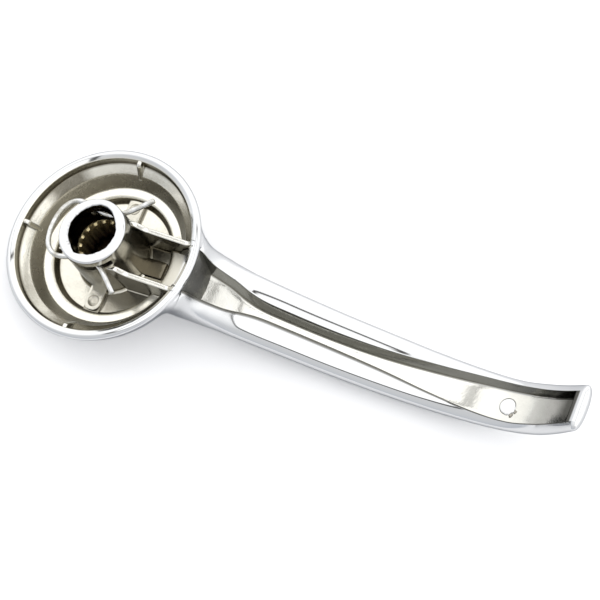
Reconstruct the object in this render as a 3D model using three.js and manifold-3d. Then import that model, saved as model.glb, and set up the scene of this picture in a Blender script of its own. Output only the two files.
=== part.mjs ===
// Interior door handle: a die-cast lever with a round boss, a steel splined insert and a wire clip.
// Millimetres, +Z up. The spindle axis is Z, the lever runs along +X and the handle lies on its front,
// so the open back of the boss faces up.
import * as THREE from 'three';
import { mergeVertices } from 'three/addons/utils/BufferGeometryUtils.js';
import Module from 'manifold-3d';

const wasm = await Module();
wasm.setup();

// Boss: a shallow cup with a rolled rim.
const bossRadius = 20.2;
const frontFlatRadius = 8.5;
const rimHeight = 9.0;
const rimCrest = 0.85;
const rimLipWidth = 1.8;
const shoulderTopRadius = 18.0;
const shoulderTopHeight = 8.15;
const shoulderFootRadius = 16.3;
const shoulderFootHeight = 6.75;
const floorRingHeight = 3.8;
const floorRingOuterRadius = 14.35;
const floorRingInnerRadius = 12.6;
const floorCorner = 0.35;
const discStep = 1.6;
const stepRoll = 0.8;

// Hub, its bore and the two slots that the clip sits in.
const hubMouthHeight = 15.1;
const hubMouthRadius = 6.85;
const hubFootRadius = 7.2;
const hubFootFillet = 0.7;
const hubEdgeRound = 0.45;
const boreRadius = 4.85;
const slotHeight = 12.7;
const slotOpening = 1.45;
const slotFloorOffset = 4.05;

// Splined insert, cast into the lower half of the hub.
const insertRadius = 5.75;
const insertSeatClearance = 0.3;
const insertTopHeight = 9.5;
const insertLength = 6.1;
const splineTipRadius = 4.25;
const splineRootRadius = 4.8;
const splineTeeth = 16;

// Wire clip.
const wireDiameter = 1.05;
const clipBowReach = 9.85;
const clipBowHalfWidth = 5.95;
const clipWaistHalfWidth = 4.72;
const clipTipReach = 8.45;
const clipTipHalfWidth = 10.0;

// Two main ribs from the hub to the rim, in line with the sides of the lever.
const ribOffset = 4.85;
const ribThickness = 1.15;
const ribRootHeight = 11.6;
const ribHeight = 9.9;
const ribRimHeight = 8.8;
const ribRootRun = 2.4;
const ribRimRun = 1.6;

// Raised pads for the ejector pins on the disc, and the small fins inside the rim.
const padInnerRadius = 6.9;
const padLength = 4.4;
const padWidth = 3.4;
const padRise = 0.95;
const finThickness = 1.1;
const finTopLength = 1.3;
const finFootLength = 2.8;
const finTopHeight = 9.3;
const finFootHeight = 6.2;
const pinMarkRadius = 1.55;
const pinMarkRise = 0.25;
const pinMarkReach = 79.2;

// Lever: a swept bar with a channel cut in its back.
const leverReach = 96.0;
const leverDip = 27.2;
const leverHalfWidth = 7.0;
const leverBackDepth = 2.3;
const leverFrontDepth = 4.5;
const leverTipRound = 1.2;
const channelHalfWidth = 3.85;
const channelFloor = 2.3;
const channelEdgeRound = 0.35;
const channelDraft = 0.6;
const channelCorner = 0.5;
const channelStart = 15.5;
const channelEndWall = 0.5;
const pocketWallTopRadius = 20.15;
const pocketWallFootRadius = 19.7;
const pocketWallHeight = 10.5;

// The power of the lever's rounded section: 2 is an ellipse and more is squarer.
const sectionPower = 2.3;

// Meshing.
const lathePieces = 72;
const hubPieces = 48;
const leverStations = 34;
const leverRingPoints = 32;
const wirePieces = 64;
const wireSides = 10;

// Shares along the lever: reach, drop below the rim, half width, back depth, front depth and how
// square the back's shoulders are.
const leverShares = [
  [0.100, 0.190, 1.00, 2.20, 0.78, 2.0],
  [0.150, 0.262, 1.05, 3.20, 0.98, 2.0],
  [0.175, 0.298, 1.05, 3.50, 1.05, 2.0],
  [0.195, 0.328, 1.03, 2.45, 1.03, 1.8],
  [0.210, 0.352, 1.02, 1.90, 1.02, 1.6],
  [0.225, 0.376, 1.01, 1.62, 1.01, 1.4],
  [0.250, 0.418, 0.98, 1.25, 1.00, 1.2],
  [0.285, 0.482, 0.96, 1.02, 1.00, 1.0],
  [0.363, 0.606, 0.93, 0.98, 0.98, 1.0],
  [0.466, 0.755, 0.90, 0.95, 0.96, 1.0],
  [0.570, 0.875, 0.87, 0.95, 0.92, 1.0],
  [0.674, 0.965, 0.82, 0.92, 0.88, 1.0],
  [0.777, 1.000, 0.77, 0.85, 0.78, 1.0],
  [0.850, 0.965, 0.74, 0.75, 0.66, 1.0],
  [0.912, 0.850, 0.73, 0.65, 0.55, 1.0],
  [0.959, 0.712, 0.70, 0.55, 0.46, 1.0],
  [1.000, 0.560, 0.66, 0.45, 0.38, 1.0],
];

// Shares along the channel: reach, half width, floor below the centre line.
const channelShares = [
  [0.160, 1.15, 0.00],
  [0.180, 1.10, 0.00],
  [0.200, 0.97, 0.12],
  [0.225, 0.88, 0.34],
  [0.250, 0.79, 0.60],
  [0.285, 0.56, 0.90],
  [0.315, 0.44, 1.00],
  [0.363, 0.41, 1.02],
  [0.466, 0.42, 0.95],
  [0.570, 0.53, 0.90],
  [0.674, 0.76, 0.84],
  [0.777, 0.96, 0.74],
  [0.850, 1.00, 0.64],
  [0.912, 0.93, 0.52],
  [1.000, 0.80, 0.38],
];

// Shares of the clip's centre line on one side, from the bow to the tip. The first of each pair is
// along X, as a share of the bow's or the tip's reach, the second across, as a share of the width
// named with it.
const clipShares = [
  [-1.000, 0.000, 'bow'],
  [-0.985, 0.300, 'bow'],
  [-0.930, 0.620, 'bow'],
  [-0.830, 0.850, 'bow'],
  [-0.700, 0.975, 'bow'],
  [-0.560, 1.000, 'bow'],
  [-0.400, 0.950, 'bow'],
  [-0.220, 1.090, 'waist'],
  [-0.060, 1.010, 'waist'],
  [0.080, 1.000, 'waist'],
  [0.220, 1.040, 'waist'],
  [0.450, 0.600, 'tip'],
  [0.720, 0.785, 'tip'],
  [1.000, 1.000, 'tip'],
];

// A closed geometry, without its normals and without triangles that have lost their area, as a solid.
function toSolid(geometry) {
  const bare = geometry.clone();
  bare.deleteAttribute('normal');
  bare.deleteAttribute('uv');
  const welded = mergeVertices(bare);
  const index = welded.index.array;
  const kept = [];
  for (let i = 0; i < index.length; i += 3) {
    const [a, b, c] = [index[i], index[i + 1], index[i + 2]];
    if (a !== b && b !== c && c !== a) kept.push(a, b, c);
  }
  return new wasm.Manifold(new wasm.Mesh({
    numProp: 3,
    vertProperties: new Float32Array(welded.attributes.position.array),
    triVerts: new Uint32Array(kept),
  }));
}

function toGeometry(solid) {
  const mesh = solid.getMesh();
  const geometry = new THREE.BufferGeometry();
  geometry.setAttribute('position', new THREE.BufferAttribute(new Float32Array(mesh.vertProperties), 3));
  geometry.setIndex(new THREE.BufferAttribute(new Uint32Array(mesh.triVerts), 1));
  geometry.computeVertexNormals();
  return geometry;
}

// A solid of revolution about Z from pairs of radius and height. It starts half a piece round, so
// that a flat side faces each axis and not a corner.
function turned(profile, pieces) {
  const points = profile.map(([radius, height]) => new THREE.Vector2(radius, height));
  const geometry = new THREE.LatheGeometry(points, pieces, Math.PI / pieces);
  geometry.rotateX(Math.PI / 2);
  return toSolid(geometry);
}

// An upright prism over an outline in X and Y.
function prism(outline, low, high) {
  const shape = new THREE.Shape(outline.map(([x, y]) => new THREE.Vector2(x, y)));
  const geometry = new THREE.ExtrudeGeometry(shape, { depth: high - low, bevelEnabled: false });
  geometry.translate(0, 0, low);
  return toSolid(geometry);
}

function rectangle(xLow, xHigh, yLow, yHigh) {
  return [[xLow, yLow], [xHigh, yLow], [xHigh, yHigh], [xLow, yHigh]];
}

function turnedAboutZ(solid, degrees) {
  return solid.rotate([0, 0, degrees]);
}

// A closed skin over rings that all have the same number of points, with a fan over each end.
function skin(rings) {
  const count = rings[0].length;
  const positions = [];
  for (const ring of rings) {
    for (const point of ring) positions.push(point.x, point.y, point.z);
  }
  const faces = [];
  for (let i = 0; i + 1 < rings.length; i += 1) {
    for (let j = 0; j < count; j += 1) {
      const k = (j + 1) % count;
      const [a, b] = [i * count + j, i * count + k];
      const [c, d] = [a + count, b + count];
      faces.push(a, b, d, a, d, c);
    }
  }
  for (const end of [0, rings.length - 1]) {
    const centre = new THREE.Vector3();
    for (const point of rings[end]) centre.add(point);
    centre.divideScalar(count);
    const middle = positions.length / 3;
    positions.push(centre.x, centre.y, centre.z);
    for (let j = 0; j < count; j += 1) {
      const [a, b] = [end * count + j, end * count + (j + 1) % count];
      if (end === 0) faces.push(middle, b, a);
      else faces.push(middle, a, b);
    }
  }
  const geometry = new THREE.BufferGeometry();
  geometry.setAttribute('position', new THREE.Float32BufferAttribute(positions, 3));
  geometry.setIndex(faces);
  return toSolid(geometry);
}

// A smooth value between the rows of a table of shares whose first column is the reach.
function shareAt(table, column, reachShare) {
  const last = table.length - 1;
  let row = 0;
  while (row < last - 1 && table[row + 1][0] < reachShare) row += 1;
  const before = table[Math.max(row - 1, 0)];
  const [from, to] = [table[row], table[row + 1]];
  const after = table[Math.min(row + 2, last)];
  const span = to[0] - from[0];
  const t = Math.min(Math.max((reachShare - from[0]) / span, 0), 1);
  const slopeFrom = (to[column] - before[column]) / (to[0] - before[0]) * span;
  const slopeTo = (after[column] - from[column]) / (after[0] - from[0]) * span;
  const [t2, t3] = [t * t, t * t * t];
  return from[column] * (2 * t3 - 3 * t2 + 1) + slopeFrom * (t3 - 2 * t2 + t)
    + to[column] * (3 * t2 - 2 * t3) + slopeTo * (t3 - t2);
}

// The lever's centre line and its cross directions at a share of the reach.
function leverPlace(reachShare) {
  const at = (share) => new THREE.Vector3(
    leverReach * share,
    0,
    rimHeight - leverDip * shareAt(leverShares, 1, share),
  );
  const first = leverShares[0][0];
  const span = 1 - first;
  const step = span / leverStations / 4;
  const before = at(Math.max(reachShare - step, first));
  const after = at(Math.min(reachShare + step, 1));
  const along = after.sub(before).normalize();
  const back = new THREE.Vector3(-along.z, 0, along.x);
  return { point: at(reachShare), along, back };
}

function leverSizes(reachShare) {
  return {
    half: leverHalfWidth * shareAt(leverShares, 2, reachShare),
    back: leverBackDepth * shareAt(leverShares, 3, reachShare),
    front: leverFrontDepth * shareAt(leverShares, 4, reachShare),
    backPower: sectionPower * shareAt(leverShares, 5, reachShare),
  };
}

// A ring of the lever's section. No point lies on its middle line, so the handle rests on a flat
// strip of the lever's front.
function leverRing(place, sizes, forward) {
  const ring = [];
  for (let i = 0; i < leverRingPoints; i += 1) {
    const angle = (2 * Math.PI * (i + 0.5)) / leverRingPoints;
    const [c, s] = [Math.cos(angle), Math.sin(angle)];
    const power = s > 0 ? sizes.backPower : sectionPower;
    const across = sizes.half * Math.sign(c) * Math.abs(c) ** (2 / power);
    const rise = s > 0 ? sizes.back * s ** (2 / power) : -sizes.front * (-s) ** (2 / power);
    const point = place.point.clone().addScaledVector(place.back, rise);
    point.addScaledVector(place.along, forward);
    point.y = across;
    ring.push(point);
  }
  return ring;
}

// Stations lie closer together at both ends, where the lever bends most.
function stationShare(i) {
  return (1 - Math.cos((Math.PI * i) / leverStations)) / 2;
}

function leverBar() {
  const rings = [];
  const first = leverShares[0][0];
  for (let i = 0; i <= leverStations; i += 1) {
    const share = first + (1 - first) * stationShare(i);
    rings.push(leverRing(leverPlace(share), leverSizes(share), 0));
  }
  const place = leverPlace(1);
  const sizes = leverSizes(1);
  for (const degrees of [30, 55, 75]) {
    const angle = THREE.MathUtils.degToRad(degrees);
    const inset = 1 - Math.cos(angle);
    rings.push(leverRing(place, {
      half: sizes.half - leverTipRound * inset,
      back: sizes.back * (1 - inset),
      front: sizes.front * (1 - inset),
      backPower: sizes.backPower,
    }, leverTipRound * Math.sin(angle)));
  }
  return skin(rings);
}

// The channel's half width, its floor and its edge, measured from the lever's centre line.
function channelSizes(reachShare) {
  const sizes = leverSizes(reachShare);
  const half = channelHalfWidth * shareAt(channelShares, 1, reachShare);
  const floor = -channelFloor * shareAt(channelShares, 2, reachShare);
  const power = sizes.backPower;
  const edge = sizes.back * (1 - (half / sizes.half) ** power) ** (1 / power);
  return { half, floor, edge };
}

// The channel's section, wider above the lips, with a small round at their edge.
function channelRing(reachShare) {
  const place = leverPlace(reachShare);
  const { half, floor, edge } = channelSizes(reachShare);
  const section = [
    [half + 3 * channelEdgeRound, edge + 3 * leverBackDepth],
    [half + 2 * channelEdgeRound, edge + channelEdgeRound],
    [half + channelEdgeRound, edge - channelEdgeRound / 3],
    [half, edge - 1.5 * channelEdgeRound],
    [half - channelDraft, floor + channelCorner],
    [half - channelDraft - channelCorner, floor],
  ];
  const both = [...section, ...section.map(([y, z]) => [-y, z]).reverse()];
  return both.reverse().map(([y, z]) => {
    const point = place.point.clone().addScaledVector(place.back, z);
    point.y = y;
    return point;
  });
}

function leverChannel() {
  const [from, to] = [channelStart / leverReach, 1 - channelEndWall / leverReach];
  const rings = [];
  for (let i = 0; i <= leverStations; i += 1) {
    rings.push(channelRing(from + (to - from) * stationShare(i)));
  }
  return skin(rings).subtract(pocketWall());
}

// The outside of the boss where it faces the channel, which the channel stops at.
function pocketWall() {
  return turned([
    [0, rimHeight - 2 * pocketWallHeight],
    [pocketWallFootRadius, rimHeight - 2 * pocketWallHeight],
    [pocketWallFootRadius, rimHeight - pocketWallHeight],
    [pocketWallTopRadius, rimHeight],
    [pocketWallTopRadius, rimHeight + pocketWallHeight],
    [0, rimHeight + pocketWallHeight],
  ], lathePieces);
}

const rimTopHeight = rimHeight + rimCrest;
const rimInnerRadius = bossRadius - rimLipWidth;
const discHeight = floorRingHeight - discStep;

// The outside of the boss, as a full body.
function bossBody() {
  return turned([
    [0, 0],
    [frontFlatRadius, 0],
    [bossRadius * 0.614, rimHeight * 0.072],
    [bossRadius * 0.704, rimHeight * 0.159],
    [bossRadius * 0.786, rimHeight * 0.279],
    [bossRadius * 0.859, rimHeight * 0.427],
    [bossRadius * 0.920, rimHeight * 0.600],
    [bossRadius * 0.967, rimHeight * 0.792],
    [bossRadius, rimHeight],
    [bossRadius - rimLipWidth * 0.08, rimHeight + rimCrest * 0.50],
    [bossRadius - rimLipWidth * 0.27, rimHeight + rimCrest * 0.88],
    [bossRadius - rimLipWidth * 0.52, rimTopHeight],
    [bossRadius - rimLipWidth * 0.80, rimHeight + rimCrest * 0.88],
    [rimInnerRadius, rimHeight + rimCrest * 0.62],
    [0, rimHeight + rimCrest * 0.62],
  ], lathePieces);
}

// What is taken out of the boss: the steep inside of the rim, a sloping shoulder, the wall below it,
// the floor's ring and the disc that it steps down to.
function bossHollow() {
  const stepFoot = floorRingInnerRadius - stepRoll;
  return turned([
    [0, discHeight],
    [stepFoot, discHeight],
    [stepFoot, floorRingHeight - stepRoll],
    [stepFoot + stepRoll * 0.3, floorRingHeight - stepRoll * 0.3],
    [floorRingInnerRadius, floorRingHeight],
    [floorRingOuterRadius, floorRingHeight],
    [floorRingOuterRadius + floorCorner, floorRingHeight + floorCorner],
    [shoulderFootRadius, shoulderFootHeight],
    [shoulderTopRadius, shoulderTopHeight],
    [rimInnerRadius, rimHeight + rimCrest * 0.62],
    [rimInnerRadius, 2 * rimTopHeight],
    [0, 2 * rimTopHeight],
  ], lathePieces);
}

function hubPost() {
  return turned([
    [0, discHeight - discStep],
    [hubFootRadius + hubFootFillet, discHeight - discStep],
    [hubFootRadius + hubFootFillet, discHeight],
    [hubFootRadius + hubFootFillet * 0.3, discHeight + hubFootFillet * 0.3],
    [hubFootRadius, discHeight + hubFootFillet],
    [hubMouthRadius, hubMouthHeight - hubEdgeRound],
    [hubMouthRadius - hubEdgeRound * 0.3, hubMouthHeight - hubEdgeRound * 0.3],
    [hubMouthRadius - hubEdgeRound, hubMouthHeight],
    [0, hubMouthHeight],
  ], hubPieces);
}

// The bore above the insert and the seat that the insert is cast into.
function hubBore() {
  const seatRadius = insertRadius + insertSeatClearance;
  const seatTop = insertTopHeight + insertSeatClearance;
  const seatFoot = insertTopHeight - insertLength - insertSeatClearance;
  return turned([
    [0, seatFoot],
    [seatRadius, seatFoot],
    [seatRadius, seatTop],
    [boreRadius, seatTop],
    [boreRadius, hubMouthHeight - hubEdgeRound],
    [boreRadius + hubEdgeRound * 0.6, hubMouthHeight],
    [boreRadius + hubEdgeRound * 0.6, 2 * hubMouthHeight],
    [0, 2 * hubMouthHeight],
  ], hubPieces);
}

// A flat cut across each side of the hub, for the clip.
function clipSlots() {
  const [low, high] = [slotHeight - slotOpening / 2, slotHeight + slotOpening / 2];
  const reach = 2 * hubFootRadius;
  const slot = prism(rectangle(-reach, reach, slotFloorOffset, reach), low, high);
  return slot.add(turnedAboutZ(slot, 180));
}

// A main rib: high where it joins the hub, level, then rising a little into the rim.
function mainRib(side) {
  const hubEdge = hubMouthRadius - ribThickness;
  const rimEdge = rimInnerRadius;
  const outline = [
    [boreRadius / 4, discHeight - discStep],
    [rimEdge, discHeight - discStep],
    [rimEdge, rimHeight],
    [rimEdge - ribRimRun * 0.4, ribRimHeight],
    [rimEdge - ribRimRun, ribRimHeight - ribThickness / 4],
    [hubEdge + ribRootRun, ribHeight],
    [hubEdge + ribRootRun * 0.55, ribHeight + (ribRootHeight - ribHeight) * 0.35],
    [boreRadius / 4, ribRootHeight],
  ];
  const shape = new THREE.Shape(outline.map(([x, z]) => new THREE.Vector2(x, z)));
  const geometry = new THREE.ExtrudeGeometry(shape, { depth: ribThickness, bevelEnabled: false });
  geometry.rotateX(Math.PI / 2);
  geometry.translate(0, side * ribOffset + ribThickness / 2, 0);
  return toSolid(geometry);
}

// A pad's outline along +X: square between the ribs and with a rounded outer end elsewhere.
function padOutline(rounded) {
  const [inner, outer] = [padInnerRadius, padInnerRadius + padLength];
  const half = padWidth / 2;
  if (!rounded) return rectangle(inner, outer, -half, half);
  const outline = [[inner, half], [inner, -half]];
  for (let degrees = -90; degrees <= 90; degrees += 15) {
    const angle = THREE.MathUtils.degToRad(degrees);
    outline.push([outer - half + half * Math.cos(angle), half * Math.sin(angle)]);
  }
  return outline;
}

function pad(rounded) {
  return prism(padOutline(rounded), discHeight - discStep, discHeight + padRise);
}

// A small upright fin between the rim and the wall below it, along +X.
function rimFin() {
  const outer = rimInnerRadius + rimLipWidth / 10;
  const outline = [
    [outer, finFootHeight],
    [outer, finTopHeight],
    [outer - finTopLength, finTopHeight],
    [outer - finFootLength, finFootHeight],
  ];
  const shape = new THREE.Shape(outline.map(([x, z]) => new THREE.Vector2(x, z)));
  const geometry = new THREE.ExtrudeGeometry(shape, { depth: finThickness, bevelEnabled: false });
  geometry.rotateX(Math.PI / 2);
  geometry.translate(0, finThickness / 2, 0);
  return toSolid(geometry);
}

// The round mark that an ejector pin leaves on the channel's floor, a little proud of it.
function pinMark() {
  const share = pinMarkReach / leverReach;
  const place = leverPlace(share);
  const { floor } = channelSizes(share);
  const level = place.point.z + floor / Math.hypot(1, place.along.z / place.along.x);
  const mark = turned([
    [0, level + floor / 2],
    [pinMarkRadius, level + floor / 2],
    [pinMarkRadius, level + pinMarkRise],
    [0, level + pinMarkRise],
  ], hubPieces / 2);
  return mark.translate([pinMarkReach, 0, 0]);
}

function handleCasting() {
  let body = leverBar().subtract(leverChannel()).add(pinMark());
  body = body.add(bossBody()).subtract(bossHollow());
  body = body.add(hubPost()).add(mainRib(1)).add(mainRib(-1)).add(pad(false));
  for (const degrees of [90, 180, 270]) {
    body = body.add(turnedAboutZ(pad(true), degrees)).add(turnedAboutZ(rimFin(), degrees));
  }
  return body.subtract(hubBore()).subtract(clipSlots());
}

// A sleeve with straight teeth inside.
function splinedInsert() {
  const low = insertTopHeight - insertLength;
  const sleeve = turned([
    [0, low],
    [insertRadius, low],
    [insertRadius, insertTopHeight],
    [0, insertTopHeight],
  ], hubPieces);
  const outline = [];
  for (let tooth = 0; tooth < splineTeeth; tooth += 1) {
    for (const [share, radius] of [
      [0.79, splineTipRadius],
      [1.11, splineTipRadius],
      [1.27, splineRootRadius],
      [1.63, splineRootRadius],
    ]) {
      const angle = (2 * Math.PI * (tooth + share)) / splineTeeth;
      outline.push([radius * Math.cos(angle), radius * Math.sin(angle)]);
    }
  }
  return sleeve.subtract(prism(outline, low - insertLength, insertTopHeight + insertLength));
}

// The clip's wire, bowed round the hub on one side and with its two legs through the slots.
function retainingClip() {
  const widths = { bow: clipBowHalfWidth, waist: clipWaistHalfWidth, tip: clipTipHalfWidth };
  const side = clipShares.map(([along, across, name]) => {
    const reach = along < 0 ? clipBowReach : clipTipReach;
    return new THREE.Vector3(reach * along, widths[name] * across, slotHeight);
  });
  const other = side.slice(1).map((point) => new THREE.Vector3(point.x, -point.y, point.z));
  const path = new THREE.CatmullRomCurve3([...other.reverse(), ...side]);
  const outline = [];
  for (let i = 0; i < wireSides; i += 1) {
    const angle = (2 * Math.PI * i) / wireSides;
    const radius = wireDiameter / 2;
    outline.push(new THREE.Vector2(radius * Math.cos(angle), radius * Math.sin(angle)));
  }
  const geometry = new THREE.ExtrudeGeometry(new THREE.Shape(outline), {
    steps: wirePieces,
    extrudePath: path,
    bevelEnabled: false,
  });
  return toSolid(geometry);
}

function piece(name, solid, colour, roughness, metalness) {
  const material = new THREE.MeshStandardMaterial({ color: colour, roughness, metalness });
  material.name = name;
  const mesh = new THREE.Mesh(toGeometry(solid), material);
  mesh.name = name;
  return mesh;
}

const handle = new THREE.Group();
handle.name = 'interior_door_handle';
handle.add(piece('handle_casting', handleCasting(), '#d9dadb', 0.12, 1.0));
handle.add(piece('splined_insert', splinedInsert(), '#4a3d35', 0.55, 1.0));
handle.add(piece('retaining_clip', retainingClip(), '#c3c4c2', 0.25, 1.0));

export default handle;
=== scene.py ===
# %% [markdown]
# # A die-cast door handle, seen from its open back
#
# The handle lies on a white surface with the hollow side of its round boss towards us. This lesson
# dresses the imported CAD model: the first cell loads it as a fixed frame, and every piece made below
# sits in that frame, in metres, with the spindle along Z and the lever along X.

# %% Load the CAD frame
import math

import bpy
import numpy as np
from mathutils import Matrix, Vector


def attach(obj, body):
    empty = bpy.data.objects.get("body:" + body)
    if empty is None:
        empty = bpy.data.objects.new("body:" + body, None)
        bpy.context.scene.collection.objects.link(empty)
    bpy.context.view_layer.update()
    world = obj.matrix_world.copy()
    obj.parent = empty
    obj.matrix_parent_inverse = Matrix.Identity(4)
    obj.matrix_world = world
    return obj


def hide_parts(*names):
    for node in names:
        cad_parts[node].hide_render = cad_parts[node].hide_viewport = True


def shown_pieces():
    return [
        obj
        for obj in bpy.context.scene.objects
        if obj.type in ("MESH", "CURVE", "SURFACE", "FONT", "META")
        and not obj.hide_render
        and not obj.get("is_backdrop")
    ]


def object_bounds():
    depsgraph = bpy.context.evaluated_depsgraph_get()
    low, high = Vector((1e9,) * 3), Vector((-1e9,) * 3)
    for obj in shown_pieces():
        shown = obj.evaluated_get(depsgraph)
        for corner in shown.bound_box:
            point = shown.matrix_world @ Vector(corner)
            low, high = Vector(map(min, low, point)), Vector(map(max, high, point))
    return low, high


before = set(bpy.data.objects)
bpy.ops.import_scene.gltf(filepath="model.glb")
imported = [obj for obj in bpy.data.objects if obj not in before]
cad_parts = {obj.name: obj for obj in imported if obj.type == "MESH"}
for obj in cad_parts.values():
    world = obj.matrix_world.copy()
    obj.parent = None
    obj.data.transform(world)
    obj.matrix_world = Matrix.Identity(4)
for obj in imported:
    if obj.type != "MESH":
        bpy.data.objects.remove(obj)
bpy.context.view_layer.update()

MM = 0.001

# %% [markdown]
# ## The camera
#
# The photograph looks down into the boss from the lever's side, with a long lens and the camera
# rolled so that the lever runs across the picture. Aim, distance and the three angles were found by
# fitting the circles of the boss and hub, so the camera is set from them and from nothing else.

# %% Place the camera
AIM = Vector((39.26, 2.94, 0.0)) * MM
DISTANCE = 361.86 * MM
AZIMUTH, ELEVATION, ROLL = (math.radians(a) for a in (55.03, 61.84, 35.38))
FIELD_OF_VIEW = math.radians(18.0)

flat_share = math.cos(ELEVATION)
back = Vector((math.sin(AZIMUTH) * flat_share, -math.cos(AZIMUTH) * flat_share, math.sin(ELEVATION)))
level = Vector((math.cos(AZIMUTH), math.sin(AZIMUTH), 0.0))
upright = back.cross(level)
right = math.cos(ROLL) * level - math.sin(ROLL) * upright
up = math.cos(ROLL) * upright + math.sin(ROLL) * level
camera_data = bpy.data.cameras.new("camera")
camera_data.sensor_width = 36.0
camera_data.lens = camera_data.sensor_width / 2 / math.tan(FIELD_OF_VIEW / 2)
camera_data.clip_start, camera_data.clip_end = 0.01, 20.0
camera = bpy.data.objects.new("camera", camera_data)
camera.matrix_world = Matrix.Translation(AIM + back * DISTANCE) @ Matrix((right, up, back)).transposed().to_4x4()
bpy.context.scene.collection.objects.link(camera)
bpy.context.scene.camera = camera
print("camera looks along", [round(-v, 3) for v in back])

# %% [markdown]
# ## Meshes from arrays
#
# Each piece is a table of points worked out by numpy. Rings of points, one after the other, make a
# skin: neighbouring rings are joined by four-sided faces, and an end is closed by a fan to its
# middle. The volume under the faces says whether they look outwards, and if not they are turned.


# %% Put arrays into a mesh
def new_piece(name, points, faces, body="handle", sharp=None):
    """A mesh object from an array of points in mm and a list of arrays of faces."""
    mesh = bpy.data.meshes.new(name)
    corners = [face for block in faces for face in block.tolist()]
    mesh.from_pydata((np.asarray(points) * MM).tolist(), [], corners)
    mesh.update()
    mesh.shade_smooth()
    if sharp is not None:
        mesh.set_sharp_from_angle(angle=math.radians(sharp))
    piece = bpy.data.objects.new(name, mesh)
    bpy.context.scene.collection.objects.link(piece)
    print(name + ":", len(mesh.polygons), "faces")
    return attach(piece, body)


def ring_faces(rings, count, closed):
    """Faces between rings of count points. Corner (i, j) joins (i, j+1), (i+1, j+1) and (i+1, j);
    after the last ring comes the first when closed."""
    i = np.arange(rings if closed else rings - 1)[:, None]
    j = np.arange(count)[None, :]
    here, there = i * count, ((i + 1) % rings) * count
    side = (j + 1) % count
    return np.stack([here + j, here + side, there + side, there + j], -1).reshape(-1, 4)


def outward(points, faces):
    """Six times the volume is the sum of a . (b x c) over the triangles of the faces; if it is
    negative, each face's corners are listed the other way round."""
    total = 0.0
    for block in faces:
        a = points[block[:, 0]]
        for k in range(1, block.shape[1] - 1):
            b, c = points[block[:, k]], points[block[:, k + 1]]
            total += np.einsum("ij,ij->i", a, np.cross(b, c)).sum()
    return faces if total > 0 else [block[:, ::-1] for block in faces]


def skin(name, rings, body="handle", closed=False, sharp=None):
    """A closed skin over an array of rings, shaped rings x count x 3, with a fan over each end
    unless the rings close into a loop."""
    rings = np.asarray(rings, float)
    total, count = rings.shape[:2]
    points = rings.reshape(-1, 3)
    faces = [ring_faces(total, count, closed)]
    if not closed:
        j = np.arange(count)
        for first, tip in ((0, rings[0].mean(0)), ((total - 1) * count, rings[-1].mean(0))):
            middle = np.full(count, len(points))
            points = np.vstack([points, tip])
            fan = np.stack([middle, first + j, first + (j + 1) % count], -1)
            faces.append(fan if first else fan[:, ::-1])
    return new_piece(name, points, outward(points, faces), body, sharp)


# %% [markdown]
# A turned piece starts as a drawn outline. Real edges are never quite sharp, so each corner of the
# outline carries a radius, and the helper replaces it by an arc that touches both of its sides.


# %% Round the corners of an outline
def rounded(corners, step):
    """Points along a path of (x, y, radius) corners, at most step apart. A corner with a turn of t
    becomes an arc that starts radius * tan(t / 2) before it, at most 0.48 of the shorter side."""
    path = np.array([c[:2] for c in corners], float)
    out = [path[0]]
    for k in range(1, len(path) - 1):
        before, here, after = path[k - 1], path[k], path[k + 1]
        u, v = before - here, after - here
        lu, lv = np.linalg.norm(u), np.linalg.norm(v)
        u, v = u / lu, v / lv
        turn = math.pi - math.acos(max(-1.0, min(1.0, float(u @ v))))
        reach = min(corners[k][2] * math.tan(turn / 2), 0.48 * min(lu, lv))
        if reach < 1e-4:
            out.append(here)
            continue
        radius = reach / math.tan(turn / 2)
        centre = here + (u + v) / np.linalg.norm(u + v) * radius / math.cos(turn / 2)
        start, end = here + u * reach - centre, here + v * reach - centre
        t = np.linspace(0, 1, max(4, int(math.degrees(turn) / 9) + 2))[:, None]
        out += list(centre + (np.sin((1 - t) * turn) * start + np.sin(t * turn) * end) / math.sin(turn))
    out.append(path[-1])
    fine = [out[0]]
    for a, b in zip(out[:-1], out[1:]):
        pieces = max(1, math.ceil(np.linalg.norm(b - a) / step))
        fine += [a + (b - a) * k / pieces for k in range(1, pieces + 1)]
    return np.array(fine)


def about_axis(r, angle, z):
    """Points at radius r, angle and height z, with x, y and z along the last axis."""
    return np.stack([r * np.cos(angle), r * np.sin(angle), z + 0 * angle], -1)


def turned(name, outline, count, body="handle", sharp=None):
    """A surface of revolution: an outline point (r, z) goes to (r cos t, r sin t, z). An outline that
    starts and ends on the axis is closed by its two poles, and any other closes on itself."""
    t = 2 * np.pi * np.arange(count) / count
    poles = outline[0, 0] < 1e-6
    inner = outline[1:-1] if poles else outline[:-1]
    r, z = inner[:, :1], inner[:, 1:]
    rings = about_axis(r, t, z)
    if not poles:
        return skin(name, rings, body, closed=True, sharp=sharp)
    points = np.vstack([rings.reshape(-1, 3), [0, 0, outline[0, 1]], [0, 0, outline[-1, 1]]])
    j, last = np.arange(count), (len(inner) - 1) * count
    side = (j + 1) % count
    low = np.stack([np.full(count, len(points) - 2), side, j], -1)
    high = np.stack([np.full(count, len(points) - 1), last + j, last + side], -1)
    faces = [ring_faces(len(inner), count, False), low, high]
    return new_piece(name, points, outward(points, faces), body, sharp)


# %% [markdown]
# Some finishes change from place to place, such as bright plating that ends inside the rim. Such a
# change is kept in the mesh as a named number at each corner point, which a material can read.


# %% Read and mark corner points
def corner_points(piece):
    """The piece's corner points in mm, as an array."""
    values = np.empty(len(piece.data.vertices) * 3)
    piece.data.vertices.foreach_get("co", values)
    return values.reshape(-1, 3) / MM


def move_points(piece, points):
    piece.data.vertices.foreach_set("co", (points * MM).ravel())
    piece.data.update()


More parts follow.
